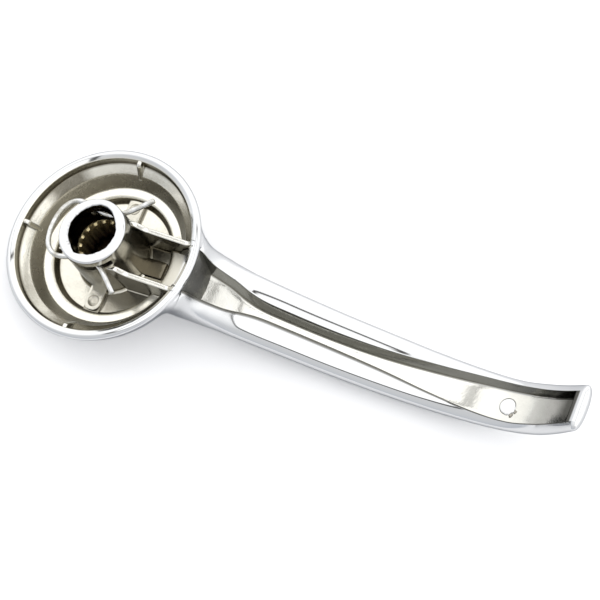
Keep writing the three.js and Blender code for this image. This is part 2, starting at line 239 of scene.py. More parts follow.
def polar(p):
    """Each point's distance from the spindle axis, and its angle round it from 0 to 360 degrees."""
    return np.hypot(p[:, 0], p[:, 1]), np.degrees(np.arctan2(p[:, 1], p[:, 0])) % 360


def push_outwards(piece, p, distance):
    """Moves points p of a piece away from the spindle axis by a distance in mm for each."""
    p[:, :2] *= (1 + distance / np.maximum(polar(p)[0], 1))[:, None]
    move_points(piece, p)


def mark(piece, **finish):
    """Keeps numbers for the corner points under their names. One number stands for all points."""
    for name, values in finish.items():
        attribute = piece.data.attributes.new(name, "FLOAT", "POINT")
        every = np.zeros(len(attribute.data)) + values
        attribute.data.foreach_set("value", every.astype(np.float32))


def ease(value, low, high):
    """0 below low, 1 above high, and 3t^2 - 2t^3 of the share between them."""
    t = np.clip((value - low) / (high - low), 0, 1)
    return t * t * (3 - 2 * t)


# %% [markdown]
# ## The boss
#
# The boss is a shallow cup. Outside, a flat of 17 mm turns into a circular arc that touches it, and
# the rim is rolled over. Inside, a steep face leads to a sloping shoulder, a wall goes down to a
# flat ring, and a round step leads down to the disc at the bottom. All of it is one turned outline.

# %% Turn the boss
BOSS_RADIUS, RIM_HEIGHT, FLAT_RADIUS = 20.2, 9.0, 8.5
CREST, LIP_WIDTH = 0.85, 1.8
DISC, FLOOR_RING = 2.2, 3.8
ARC = ((BOSS_RADIUS - FLAT_RADIUS) ** 2 + RIM_HEIGHT**2) / (2 * RIM_HEIGHT)
sweep = np.linspace(0, math.atan2(BOSS_RADIUS - FLAT_RADIUS, ARC - RIM_HEIGHT), 64)[1:]
dome = np.stack([FLAT_RADIUS + ARC * np.sin(sweep), ARC * (1 - np.cos(sweep))], -1)
roll = np.radians(np.linspace(6, 118, 24))
lip = np.stack([BOSS_RADIUS - LIP_WIDTH / 2 * (1 - np.cos(roll)), RIM_HEIGHT + CREST * np.sin(roll)], -1)
inside = rounded([
    (*lip[-1], 0), (18.32, 9.50, 0.35), (17.98, 8.15, 0.25), (16.30, 6.76, 0.6), (14.45, FLOOR_RING, 0.3),
    (12.6, FLOOR_RING, 0.8), (11.8, DISC, 0.25), (0.0, DISC, 0),
], 0.45)
flat = [[FLAT_RADIUS * k / 8, 0.0] for k in range(9)]
outside = np.vstack([flat, dome, lip])
boss = turned("boss_shell", np.vstack([outside, inside[1:]]), 320)


def cup_inside(radius):
    """The height of the cup's inside surface at a radius."""
    return np.interp(radius, inside[::-1, 0], inside[::-1, 1])


def wall_middle(radius):
    """The height half-way between the cup's inside and the arc outside, at a radius."""
    x = np.clip(radius - FLAT_RADIUS, 0, BOSS_RADIUS - FLAT_RADIUS)
    return (cup_inside(radius) + ARC - np.sqrt(ARC**2 - x**2)) / 2


# %% [markdown]
# Between the two ribs the ring is wider and the wall behind it steeper, which leaves room for the
# lever's root. A turned piece is the same all round, so the inside's points there are moved outwards
# along their radius. The change from one width to the other is hidden inside the ribs.

# %% Widen the ring between the ribs
RIB_Y, RIB_THICK = 4.85, 1.15
p = corner_points(boss)
radius = polar(p)[0]
inner_skin = p[:, 2] > np.interp(radius, dome[:, 0], dome[:, 1]) + 0.5
widen = np.interp(radius, [12.7, 14.45, 16.3, 17.98], [0.0, 1.45, 1.05, 0.0])
widen *= inner_skin * (p[:, 0] > 0) * (1 - ease(np.abs(p[:, 1]), 4.3, 4.8))
push_outwards(boss, p, widen)
print("the ring is wider by", round(float(widen.max()), 2), "mm between the ribs")

# %% [markdown]
# ## The hub
#
# The hub is the tube that takes the spindle. Its mouth is a flat bright ring whose inner edge has
# been knocked about by the spindle, so the edge's radius changes a little round the ring: the
# greater part is a table read off round the ring, and two sines add the small dents.

# %% Turn the hub
HUB_MOUTH, HUB_RADIUS, HUB_FOOT, BORE = 15.1, 6.85, 7.2, 4.85
SLOT_HEIGHT, SLOT_OPENING, SLOT_FLOOR = 12.7, 1.45, 4.05
SLEEVE_RADIUS, SLEEVE_TOP, SLEEVE_LENGTH, SEAT = 5.75, 9.5, 6.1, 0.3
hub_outline = rounded([
    (0, 1.0, 0), (9.0, 1.0, 0), (9.0, DISC - 0.05, 0), (HUB_FOOT + 0.04, DISC - 0.02, 0.9),
    (HUB_RADIUS, HUB_MOUTH, 0.4), (BORE, HUB_MOUTH, 0.3),
    (BORE, SLEEVE_TOP + SEAT, 0.1), (SLEEVE_RADIUS + SEAT, SLEEVE_TOP + SEAT, 0),
    (SLEEVE_RADIUS + SEAT, SLEEVE_TOP - SLEEVE_LENGTH - SEAT, 0),
    (0, SLEEVE_TOP - SLEEVE_LENGTH - SEAT, 0),
], 0.4)
hub = turned("hub_tube", hub_outline, 180)
p = corner_points(hub)
radius, turn = polar(p)
KNOCKS = np.array([
    (0, 0.05), (50, 0.05), (58, 0.3), (72, 0.6), (100, 0.62), (116, 0.45), (125, 0.2), (150, 0.12),
    (180, 0.05), (225, -0.15), (238, 0.1), (250, 0.35), (262, 0.3), (272, 0.05), (300, -0.02), (360, 0.05),
])
knocks = np.interp(turn, KNOCKS[:, 0], KNOCKS[:, 1])
knocks += 0.05 * np.sin(np.radians(turn * 9)) + 0.03 * np.sin(np.radians(turn * 23 + 40))
edge = (1 - ease(radius, 4.9, 6.4)) * ease(p[:, 2], 13.3, 14.6)
push_outwards(hub, p, edge * knocks)

# %% [markdown]
# Two straight cuts, one on each side, let the clip's legs through the hub. A boolean takes a box out
# on each side, and its result is kept as the piece's mesh, so that no cutter stays in the scene.


# %% Cut the hub's slots
def box_points(x, y, z):
    """The eight corners of a box between pairs of values, and its six faces."""
    grid = np.array([(a, b, c) for c in z for b in y for a in x], float)
    faces = np.array([[0, 2, 3, 1], [4, 5, 7, 6], [0, 1, 5, 4], [2, 6, 7, 3], [0, 4, 6, 2], [1, 3, 7, 5]])
    return grid, faces


def cut(piece, points, faces):
    """Takes a closed form out of a piece with an exact boolean, and keeps the result as its mesh."""
    mesh = bpy.data.meshes.new("cutter")
    mesh.from_pydata((points * MM).tolist(), [], faces.tolist())
    cutter = bpy.data.objects.new("cutter", mesh)
    bpy.context.scene.collection.objects.link(cutter)
    modifier = piece.modifiers.new("cut", "BOOLEAN")
    modifier.object, modifier.operation, modifier.solver = cutter, "DIFFERENCE", "EXACT"
    evaluated = piece.evaluated_get(bpy.context.evaluated_depsgraph_get())
    result = bpy.data.meshes.new_from_object(evaluated)
    piece.modifiers.remove(modifier)
    piece.data = result
    bpy.data.objects.remove(cutter)
    result.shade_smooth()
    result.set_sharp_from_angle(angle=math.radians(38))


PAST_HUB = 12.0
slot_z = (SLOT_HEIGHT - SLOT_OPENING / 2, SLOT_HEIGHT + SLOT_OPENING / 2)
for side in (1, -1):
    slot_y = sorted((side * SLOT_FLOOR, side * PAST_HUB))
    cut(hub, *box_points((-PAST_HUB, PAST_HUB), slot_y, slot_z))
print("hub_tube with its slots:", len(hub.data.polygons), "faces")

# %% [markdown]
# ## The steel sleeve
#
# The die-cast metal is too soft for splines, so a steel sleeve with sixteen teeth sits in the hub.
# Its cross-section is one ring: the outside is a circle and the inside steps between two radii with
# short slanting flanks. The ring is carried along Z, with a chamfer at both ends of the teeth. A
# level with a plain radius is a circle, on the outside or at the rim of an end.

# %% Build the splined sleeve
TEETH, TIP, ROOT = 16, 4.25, 4.8
share = np.array([0.0, 0.04, 0.20, 0.36, 0.40, 0.44, 0.48, 0.52, 0.60, 0.70, 0.80, 0.88, 0.91, 0.94, 0.97])
depth = np.array([0.25, 0.04, 0.0, 0.04, 0.25, 0.5, 0.75, 0.96, 1.0, 1.0, 1.0, 0.96, 0.75, 0.5, 0.4])
angle = (2 * np.pi * (np.arange(TEETH)[:, None] + share - 0.25) / TEETH).ravel()
inner = ROOT * np.tile(depth, TEETH) + TIP * (1 - np.tile(depth, TEETH))
low, high = SLEEVE_TOP - SLEEVE_LENGTH, SLEEVE_TOP
levels = [
    (low, 0.0, 5.3), (low, 0.0, SLEEVE_RADIUS), (high, 0.0, SLEEVE_RADIUS), (high, 0.0, 5.3),
    (high, 0.7, None), (high - 0.3, 0.0, None), (low + 0.3, 0.0, None), (low, 0.7, None),
]
rings = []
for height, chamfer, plain in levels:
    r = inner + (ROOT + 0.12 - inner) * chamfer if plain is None else plain + 0 * inner
    rings.append(about_axis(r, angle, height))
sleeve = skin("splined_sleeve", rings, closed=True, sharp=30)
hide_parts("splined_insert")

# %% [markdown]
# ## The wire clip
#
# One piece of spring wire bows round the hub, dips through both slots and ends in two splayed legs.
# A few points fix its centre line, a smooth curve runs through them, and a circle is carried along
# it. As the line stays in one plane, the circle needs only that plane's normal and the direction
# across the wire. At each end four smaller circles round the cut a little.


# %% Bend the clip
def smooth_through(points, pieces):
    """Points on the cubic through each pair of points whose slope at a point is half the step
    between its two neighbours."""
    padded = np.vstack([2 * points[0] - points[1], points, 2 * points[-1] - points[-2]])
    t = np.linspace(0, 1, pieces, endpoint=False)[:, None]
    spans = []
    for k in range(1, len(padded) - 2):
        a, b, c, d = padded[k - 1:k + 3]
        square, cube = 2 * a - 5 * b + 4 * c - d, 3 * b - a - 3 * c + d
        spans.append(0.5 * (2 * b + (c - a) * t + square * t**2 + cube * t**3))
    return np.vstack(spans + [points[-1:]])


WIRE, BOW_REACH, BOW_HALF, WAIST_HALF, TIP_REACH, TIP_HALF = 1.05, 9.85, 5.95, 4.72, 8.45, 10.0
half_line = np.array([
    (-1.0 * BOW_REACH, 0.0), (-0.985 * BOW_REACH, 0.3 * BOW_HALF), (-0.93 * BOW_REACH, 0.62 * BOW_HALF),
    (-0.83 * BOW_REACH, 0.85 * BOW_HALF), (-0.7 * BOW_REACH, 0.975 * BOW_HALF), (-0.56 * BOW_REACH, BOW_HALF),
    (-0.4 * BOW_REACH, 0.95 * BOW_HALF), (-0.22 * BOW_REACH, 1.09 * WAIST_HALF),
    (-0.06 * BOW_REACH, 1.01 * WAIST_HALF), (0.08 * TIP_REACH, WAIST_HALF),
    (0.22 * TIP_REACH, 1.04 * WAIST_HALF), (0.45 * TIP_REACH, 0.6 * TIP_HALF),
    (0.72 * TIP_REACH, 0.785 * TIP_HALF), (TIP_REACH, TIP_HALF),
])
line = smooth_through(np.vstack([(half_line * [1, -1])[:0:-1], half_line]), 12)
slope = np.gradient(line, axis=0)
slope /= np.linalg.norm(slope, axis=1)[:, None]
station = np.concatenate([[0] * 4, np.arange(len(line)), [len(line) - 1] * 4])
small = np.radians([80, 55, 30, 10])
size = np.concatenate([np.cos(small), np.ones(len(line)), np.cos(small[::-1])])
ahead = np.concatenate([-np.sin(small), np.zeros(len(line)), np.sin(small[::-1])]) * 0.35 * WIRE / 2
turn = 2 * np.pi * np.arange(24) / 24
across = np.stack([-slope[:, 1], slope[:, 0]], -1)[station]
middle = line[station] + slope[station] * ahead[:, None]
xy = middle[:, None, :] + across[:, None, :] * (size[:, None] * np.cos(turn) * WIRE / 2)[..., None]
z = SLOT_HEIGHT + size[:, None] * np.sin(turn) * WIRE / 2
clip = skin("wire_clip", np.dstack([xy, z[..., None]]), body="clip")
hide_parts("retaining_clip")

# %% [markdown]
# ## Ribs, fins and pads
#
# Two ribs tie the hub to the rim above the lever's sides. A rib is a section carried along X: its
# foot flares into the floor, its flanks lean in a little so that it leaves the mould, and its top
# is round. The floor under it and its top edge change along the way, so each section is drawn
# between those two heights. The foot itself stays buried half-way down the cup's wall.


# %% Carry a section along each rib
def upright_section(half, foot, floor, top, flare, crown):
    """Points (w, z) up one flank and down the other: from the buried foot, an arc out of the floor,
    the leaning flank, and a round crown of the given radius. The arrays have one row for a station."""
    a = np.radians(np.linspace(0, 90, 6))
    w_flare, z_flare = half + flare * (1 - np.sin(a)), floor[:, None] + flare * (1 - np.cos(a))
    w_crown, z_crown = half - 0.05 - crown * (1 - np.cos(a)), top[:, None] - crown * (1 - np.sin(a))
    w = np.concatenate([[half + flare], w_flare, w_crown])
    z = np.concatenate([foot[:, None], z_flare, z_crown], 1)
    return np.concatenate([w, -w[::-1]])[None, :] + 0 * foot[:, None], np.concatenate([z, z[:, ::-1]], 1)


RIB_START, RIB_END = 4.3, 18.5
top_line = rounded([
    (RIB_START, 11.45, 0), (6.0, 11.45, 0.9), (7.9, 9.95, 1.6), (16.6, 8.75, 1.5), (RIB_END, 9.5, 0),
], 0.4)


def rib_top(x):
    return np.interp(x, top_line[:, 0], top_line[:, 1])


ribs = []
for name, side in (("rib_left", 1), ("rib_right", -1)):
    x = np.linspace(RIB_START, RIB_END, 62)
    radius = np.hypot(x, RIB_Y)
    foot = np.minimum(wall_middle(radius), np.interp(radius, [16.0, 17.5], [3.3, 6.5]))
    w, z = upright_section(RIB_THICK / 2, foot, cup_inside(radius), rib_top(x), 0.3, 0.24)
    ribs.append(skin(name, np.stack([x[:, None] + 0 * w, w + side * RIB_Y, z], -1), sharp=50))

# %% [markdown]
# Three small fins stiffen the rim. Each is the same kind of section, carried outwards along its own
# radius, from the shoulder into the rim's steep inside, and turned to its place about Z.


# %% Fins inside the rim
def about_z(points, degrees):
    """Turns points about the spindle axis: x cos a - y sin a, x sin a + y cos a."""
    a = math.radians(degrees)
    return points @ np.array([[math.cos(a), math.sin(a), 0], [-math.sin(a), math.cos(a), 0], [0, 0, 1]])


def fin_top(radius):
    return np.interp(radius, [15.7, 17.2, 17.6, 18.7], [5.9, 8.9, 9.3, 9.45])


fins = []
for degrees in (90, 180, 270):
    x = np.linspace(15.7, 18.7, 26)
    top = fin_top(x)
    w, z = upright_section(0.52, wall_middle(x), np.minimum(cup_inside(x), top - 0.5), top, 0.2, 0.28)
    rings = np.stack([x[:, None] + 0 * w, w, z], -1)
    fins.append(skin("fin_%d" % degrees, about_z(rings, degrees), sharp=50))

# %% [markdown]
# Four low pads stand where pins pushed the casting out of its mould. A pad is a stack of rings that
# share their number of points: its outline rises steeply from the floor, turns over a small round on
# top, and then shrinks to a circle that dips where the pin's round end pressed. The pad toward the
# lever is lower and has no dip, and the one on the right is round at its end and stands on a base.


# %% Pads on the disc
PAD_RISE, PAD_IN, PAD_OUT, PAD_HALF = 0.95, 6.3, 12.35, 1.75
PRESS_RADIUS, PRESS_FROM_END = 1.2, 1.85
SQUARE = 16.0


def pad(name, degrees, outer, power_outside, rise, dip):
    """A pad whose outline in its own axes is |u|^n + |v|^n = 1, with its own power n on the outer
    half. The press lies a little way in from the outer end."""
    a = 2 * np.pi * (np.arange(160) + 0.5) / 160
    power = np.where(np.cos(a) > 0, power_outside, SQUARE)
    grow = (np.abs(np.cos(a)) ** power + np.abs(np.sin(a)) ** power) ** (-1 / power)
    shape = np.stack([(outer - PAD_IN) / 2 * grow * np.cos(a), PAD_HALF * grow * np.sin(a)], -1)
    round_way = np.stack([np.cos(a), np.sin(a)], -1)
    centre = np.array([(outer + PAD_IN) / 2, 0])
    shift = np.array([(outer - PAD_IN) / 2 - PRESS_FROM_END, 0])
    sides = [(0.1, -1.0), (0.1, 0.0), (0.03, 0.05), (0.0, 0.14),
             (0.0, rise - 0.08), (-0.02, rise - 0.02), (-0.08, rise)]
    press = [(0.06, 0.0), (0.0, 0.0), (-0.06, -dip * 0.6), (-0.16, -dip), (-0.8, -dip)]
    outlines = [(centre + shape + grown * round_way, height) for grown, height in sides]
    outlines += [(centre + shift + (PRESS_RADIUS + reach) * round_way, rise + height) for reach, height in press]
    rings = [np.column_stack([outline, np.full(160, DISC + height)]) for outline, height in outlines]
    return skin(name, about_z(np.array(rings), degrees), sharp=40)


pads = [
    pad("pad_0", 0, PAD_OUT - 1.0, SQUARE, 0.6, 0.0),
    pad("pad_90", 90, PAD_OUT, SQUARE, PAD_RISE, 0.16),
    pad("pad_180", 180, PAD_OUT, SQUARE, PAD_RISE, 0.16),
    pad("pad_270", 270, PAD_OUT - 0.55, 3.0, PAD_RISE, 0.18),
    pad("pad_270_base", 270, PAD_OUT, SQUARE, 0.4, 0.0),
]

# %% [markdown]
# ## The lever
#
# The lever is a bar whose rounded section changes along a bowed centre line, with a channel sunk
# into its back. The CAD source gives its sizes as shares at seventeen stations, and the same table
# and the same smooth interpolation are used here with many more stations, so both agree. A row of
# LEVER says how far along it is, how deep the bow is, and the half width, the depths of back and
# front and the back's power. A row of CHANNEL gives the channel's half width and its floor's depth.

# %% The lever's tables
REACH, DIP, HALF, BACK, FRONT, TIP_ROUND, POWER = 96.0, 27.2, 7.0, 2.3, 4.5, 1.2, 2.3
CHANNEL_HALF, CHANNEL_FLOOR = 3.85, 2.3
LEVER = np.array([
    [0.100, 0.190, 1.00, 2.20, 0.78, 2.0], [0.150, 0.262, 1.05, 3.20, 0.98, 2.0],
    [0.175, 0.298, 1.05, 3.50, 1.05, 2.0], [0.195, 0.328, 1.03, 2.45, 1.03, 1.8],
    [0.210, 0.352, 1.02, 1.90, 1.02, 1.6], [0.225, 0.376, 1.01, 1.62, 1.01, 1.4],
    [0.250, 0.418, 0.98, 1.25, 1.00, 1.2], [0.285, 0.482, 0.96, 1.02, 1.00, 1.0],
    [0.363, 0.606, 0.93, 0.98, 0.98, 1.0], [0.466, 0.755, 0.90, 0.95, 0.96, 1.0],
    [0.570, 0.875, 0.87, 0.95, 0.92, 1.0], [0.674, 0.965, 0.82, 0.92, 0.88, 1.0],
    [0.777, 1.000, 0.77, 0.85, 0.78, 1.0], [0.850, 0.965, 0.74, 0.75, 0.66, 1.0],
    [0.912, 0.850, 0.73, 0.65, 0.55, 1.0], [0.959, 0.712, 0.70, 0.55, 0.46, 1.0],
    [1.000, 0.560, 0.66, 0.45, 0.38, 1.0],
])
CHANNEL = np.array([
    [0.160, 1.15, 0.00], [0.180, 1.10, 0.00], [0.200, 0.97, 0.12], [0.225, 0.88, 0.34], [0.250, 0.79, 0.60],
    [0.285, 0.56, 0.90], [0.315, 0.44, 1.00], [0.363, 0.41, 1.02], [0.466, 0.42, 0.95], [0.570, 0.53, 0.90],
    [0.674, 0.76, 0.84], [0.777, 0.96, 0.74], [0.850, 1.00, 0.64], [0.912, 0.93, 0.52], [1.000, 0.80, 0.38],
])
START = LEVER[0, 0]


def share_at(table, column, s):
    """A cubic between the rows on both sides of s, whose slope at a row is the step between its two
    neighbours over their distance. s is an array of shares of the reach."""
    s = np.asarray(s, float)
    last = len(table) - 1
    row = np.clip(np.searchsorted(table[:, 0], s, side="left") - 1, 0, last - 1)
    rows = (np.maximum(row - 1, 0), row, row + 1, np.minimum(row + 2, last))
    s_before, s_start, s_end, s_after = (table[k, 0] for k in rows)
    before, start, end, after = (table[k, column] for k in rows)
    span = s_end - s_start
    t = np.clip((s - s_start) / span, 0, 1)
    slope_start = (end - before) / (s_end - s_before) * span
    slope_end = (after - start) / (s_after - s_start) * span
    return (
        start * (2 * t**3 - 3 * t**2 + 1) + slope_start * (t**3 - 2 * t**2 + t)
        + end * (3 * t**2 - 2 * t**3) + slope_end * (t**3 - t**2)
    )


def centre_line(s):
    return np.stack([REACH * s, RIM_HEIGHT - DIP * share_at(LEVER, 1, s)], -1)


def lever_frame(s):
    """The centre line's point and unit slope in the XZ plane at each share s. The slope is taken
    over the same small step as in the CAD source."""
    step = (1 - START) / 34 / 4
    ahead = centre_line(np.minimum(s + step, 1)) - centre_line(np.maximum(s - step, START))
    return centre_line(s), ahead / np.linalg.norm(ahead, axis=-1, keepdims=True)


def lever_sizes(s):
    """Half width, depth of the back, depth of the front and the back's power at each share s."""
    columns = zip((2, 3, 4, 5), (HALF, BACK, FRONT, POWER))
    return [size * share_at(LEVER, column, s) for column, size in columns]


print("lever's lowest point of the centre line in mm:", round(float(centre_line(LEVER[:, 0])[:, 1].min()), 2))

# %% [markdown]
# The section is one ring: it runs round the front, over one lip, down into the channel and up over
# the other lip. Sinking the channel in the ring itself keeps the whole lever one smooth surface. The
# outer curve is a superellipse, |y / half|^p + |z / depth|^p = 1; the channel's lip, drafted wall,
# foot and floor are drawn between the two points where it cuts that curve.


# %% One ring of the lever
FRONT_POINTS, SHOULDER_POINTS, CHANNEL_POINTS = 61, 16, 32
THINNEST_LIP, LIP_ROUND, DRAFT = 0.55, 0.32, 0.62


def lever_ring(s, shrink=0.0, channel=1.0):
    """Points (y, h) round the section at one share s, h above the centre line. shrink draws the
    section in for the tip's round end, and channel is the share of the channel's full depth."""
    half, depth_back, depth_front, power = (float(v) for v in lever_sizes(np.array(s)))
    half -= TIP_ROUND * shrink
    depth_back, depth_front = depth_back * (1 - shrink), depth_front * (1 - shrink)
    a = np.linspace(math.pi, 2 * math.pi, FRONT_POINTS)
    front_y = half * np.sign(np.cos(a)) * np.abs(np.cos(a)) ** (2 / POWER)
    front = np.column_stack([front_y, -depth_front * np.abs(np.sin(a)) ** (2 / POWER)])
    w = min(CHANNEL_HALF * float(share_at(CHANNEL, 1, np.array(s))), half - THINNEST_LIP)
    floor = -CHANNEL_FLOOR * float(share_at(CHANNEL, 2, np.array(s)))
    edge = depth_back * (1 - (w / half) ** power) ** (1 / power)
    cosine = np.linspace(1, (w / half) ** (power / 2), SHOULDER_POINTS + 4)[1:]
    rise = depth_back * (1 - np.minimum(cosine, 1) ** 2) ** (1 / power)
    shoulder = np.column_stack([half * cosine ** (2 / power), rise])
    low = edge + (floor - edge) * channel
    dip = rounded([
        (*shoulder[-3], 0), (w - 0.02, edge + 0.02, LIP_ROUND),
        (w - DRAFT * channel, low, 0.5 * channel + 0.01), (0, low, 0),
    ], 9.0)
    length = np.concatenate([[0], np.cumsum(np.linalg.norm(np.diff(dip, axis=0), axis=1))])
    knots = np.interp(np.linspace(0, 1, CHANNEL_POINTS), np.linspace(0, 1, len(length)), length)
    dip = np.column_stack([np.interp(knots, length, dip[:, 0]), np.interp(knots, length, dip[:, 1])])
    one_side = np.vstack([shoulder[:-3], dip])
    return np.vstack([front, one_side, one_side[-2::-1] * [-1, 1]])


def lever_at(ring, place, slope, forward=0.0):
    """A ring's points in space: along Y, and up along the centre line's normal."""
    xz = place + ring[:, 1:] * np.array([-slope[1], slope[0]]) + slope * forward
    return np.column_stack([xz[:, 0], ring[:, 0], xz[:, 1]])


# %% [markdown]
# The rings lie closer together toward both ends of the lever. The channel ends in a steep wall just
# before the tip, so its depth goes to nothing over a fifth of a millimetre there. The tip's round
# end is a quarter of a circle: each of its rings is drawn in by 1 - cos and set forward by sin.

# %% Carry the ring along the centre line
END_WALL, END_SLOPE = 1.15, 0.2
stations = START + (1 - START) * (1 - np.cos(np.pi * np.linspace(0, 1, 210))) / 2
places, slopes = lever_frame(stations)
rings = []
for s, place, slope in zip(stations, places, slopes):
    channel = float(np.clip((1 - END_WALL / REACH - s) * REACH / END_SLOPE, 0, 1))
    rings.append(lever_at(lever_ring(s, 0.0, channel), place, slope))
for degrees in (15, 30, 45, 60, 72, 82):
    a = math.radians(degrees)
    tip_ring = lever_ring(1.0, 1 - math.cos(a), 0.0)
    rings.append(lever_at(tip_ring, places[-1], slopes[-1], TIP_ROUND * math.sin(a)))
lever = skin("lever_bar", np.array(rings))

# %% [markdown]
# ## Where the lever grows out of the boss
#
# On a casting no two bodies meet in a sharp line. Both skins are moved onto one smooth surface near
# their joint. For each point, one function gives its distance from the boss and another its distance
# from the lever, and the smaller of the two, lowered a little where they are nearly equal, is a
# smooth distance from both. A few steps along its slope bring a point to where it is zero.


# %% Distances from the boss and from the lever
def boss_distance(p):
    """Signed distance to the boss's outside: to the nearest piece of the outline in the (r, z) half
    plane, positive on the right-hand side of its direction. The outline leaves out the last points
    of the rolled rim, and closes on the axis instead of going down into the cup."""
    closed = np.vstack([outside[:-6], [[0, RIM_HEIGHT + CREST]]])
    a, d = closed[:-1], np.diff(closed, axis=0)
    q = np.stack([polar(p)[0], p[:, 2]], -1)[:, None, :] - a
    t = np.clip((q * d).sum(-1) / (d * d).sum(-1), 0, 1)
    off = q - t[..., None] * d
    size = np.linalg.norm(off, axis=-1)
    k = size.argmin(1)
    row = np.arange(len(p))
    side = q[row, k, 0] * d[k, 1] - q[row, k, 1] * d[k, 0]
    return size[row, k] * np.where(side < 0, -1, 1)


dense = np.linspace(START, 0.6, 500)
dense_places, dense_slopes = lever_frame(dense)


def lever_distance(p):
    """Signed distance to the bar without its channel, to first order: with q the sum of powers in
    the superellipse, (q^(1/p) - 1) over the length of its slope."""
    xz = p[:, [0, 2]]
    along = ((xz[:, None, :] - dense_places) * dense_slopes).sum(-1)
    k = np.abs(along).argmin(1)
    s = np.clip(dense[k] + along[np.arange(len(p)), k] / REACH, START, 1)
    place, slope = lever_frame(s)
    h = -(xz - place)[:, 0] * slope[:, 1] + (xz - place)[:, 1] * slope[:, 0]
    half, depth_back, depth_front, power_back = lever_sizes(s)
    depth, power = np.where(h > 0, depth_back, depth_front), np.where(h > 0, power_back, POWER)
    u, v = (np.maximum(share, 1e-3) for share in (np.abs(p[:, 1]) / half, np.abs(h) / depth))
    q = u**power + v**power
    slope_y = q ** (1 / power - 1) * u ** (power - 1) / half
    slope_h = q ** (1 / power - 1) * v ** (power - 1) / depth
    return (q ** (1 / power) - 1) / np.hypot(slope_y, slope_h)


def joint_width(p):
    """How far the joint's round spreads: 1.2 mm behind the lever, 3.2 at its sides, 2.4 in front, and
    almost nothing over the boss's flat, so that the flat stays flat."""
    side = ease(np.degrees(np.arctan2(np.abs(p[:, 1]), p[:, 0])), 14, 22)
    front = ease(-p[:, 2], -3, 1)
    past_flat = ease(polar(p)[0], 8.7, 12.0)
    return 0.05 + ((1.2 + 2.0 * side) * (1 - front) + 2.4 * front) * past_flat


def onto_joint(p, own, other):
    """Brings points to where min(a, b) - (k/4) max(1 - |a-b|/k, 0)^2 + 0.3 max(0, a - b) is zero. Here
    a is the distance from the piece's own skin, b from the other's, and k the joint's width. The last
    term takes the skin under the other one once it has passed it. Points more than 2 mm deep inside
    the other piece stay where they were."""
    def height(x):
        a, b, k = own(x), other(x), joint_width(x)
        even = np.clip(1 - np.abs(a - b) / k, 0, 1)
        return np.minimum(a, b) - k / 4 * even**2 + 0.3 * np.maximum(0, a - b)

    moved = p.copy()
    for _ in range(7):
        here, step = height(moved), 0.02
        slope = np.stack([(height(moved + step * e) - here) / step for e in np.eye(3)], -1)
        moved -= slope * (here / np.maximum((slope**2).sum(1), 0.2))[:, None]
    return p + (moved - p) * ease(other(p), -2.0, -1.0)[:, None]


def beside_pocket(p):
    """1 at the lever's sides and in front, falling to 0 over the pocket between its lips."""
    return np.maximum(ease(np.abs(p[:, 1]), 4.4, 5.2), ease(-p[:, 2], 0.0, 1.5))


# %% [markdown]
# The boss's points go first. On the lever only the outer skin is moved, which is told by a point's
# place in its ring: the front comes first, then one shoulder, and from there on the ring runs into
# the channel. Where the lever's skin runs on inside the boss it is kept below the middle of the
# cup's wall, so that it never shows inside the cup.

# %% Move both skins onto the joint
p = corner_points(boss)
b = lever_distance(p)
near = (np.abs(b) < 6) & (p[:, 0] > 4) & (boss_distance(p) > -0.05) & (p[:, 2] < RIM_HEIGHT + 0.4)
shift = onto_joint(p[near], boss_distance, lever_distance) - p[near]
p[near] += shift * (beside_pocket(p[near]) * (1 - ease(p[near, 2], 8.3, 9.2)))[:, None]
move_points(boss, p)

p = corner_points(lever)
b = boss_distance(p)
per_ring = len(lever_ring(0.5))
place_in_ring = np.arange(len(p)) % per_ring
from_start = place_in_ring - FRONT_POINTS - SHOULDER_POINTS - 1
from_end = per_ring - SHOULDER_POINTS - 1 - place_in_ring
into_channel = np.minimum(from_start, from_end).astype(float)
outer_skin = 1 - ease(into_channel, -4, 0)
near = (b > -3) & (b < 6) & (outer_skin > 0) & (p[:, 0] < 40)
shift = onto_joint(p[near], lever_distance, boss_distance) - p[near]
p[near] += shift * (outer_skin[near] * beside_pocket(p[near]))[:, None]
radius, rim_start = polar(p)[0], 19.3
hidden = radius < 20.1
over_rim = np.interp(radius, [rim_start, 20.1], [wall_middle(rim_start), 8.8])
limit = np.where(radius < rim_start, wall_middle(radius), over_rim)
p[hidden, 2] = np.minimum(p[hidden, 2], limit[hidden])
move_points(lever, p)
print("joint:", int(near.sum()), "points of the lever moved, by up to", round(float(np.abs(shift).max()), 2), "mm")

# %% [markdown]
# The pocket between the ribs' outer ends stops at a wall that is left rough from the mould. It is a
# wedge turned about Z over a small angle: its outline is carried through that angle, and a fan
# closes both ends inside the lever.

# %% The pocket's end wall
wall_outline = np.array([
    (20.12, 9.05), (20.05, 8.0), (19.96, 6.0), (19.86, 3.5), (19.76, 1.0), (19.68, -0.6), (19.62, -2.6),
    (17.6, -2.6), (17.6, 4.0), (18.0, 6.4), (18.9, 9.2), (19.6, 9.35),
])
turn = np.radians(np.linspace(-14.4, 14.4, 60))[:, None]
r, z = wall_outline[None, :, 0], wall_outline[None, :, 1]
pocket_wall = skin("pocket_wall", about_axis(r, turn, z), sharp=50)

# %% [markdown]
# A pin has left a round mark on the channel's floor near the tip, a little proud of it. It is a low
# button whose rings lie flat on the floor, with a burr on one side of its edge. Beside it stand
# three small bits of flash, where metal crept along the pin: low mounds with a wavy outline.

# %% The pin's mark
s_mark = np.array(79.2 / REACH)
place, slope = lever_frame(s_mark)
floor_height = -CHANNEL_FLOOR * float(share_at(CHANNEL, 2, s_mark))
a = 2 * np.pi * np.arange(96) / 96


def on_channel_floor(along, across, rise):
    """A ring above the channel's floor, from its points' places along and across the lever."""
    ring = np.column_stack([across, floor_height + rise + 0 * across])
    return lever_at(ring, place, slope) + np.outer(along, [slope[0], 0, slope[1]])


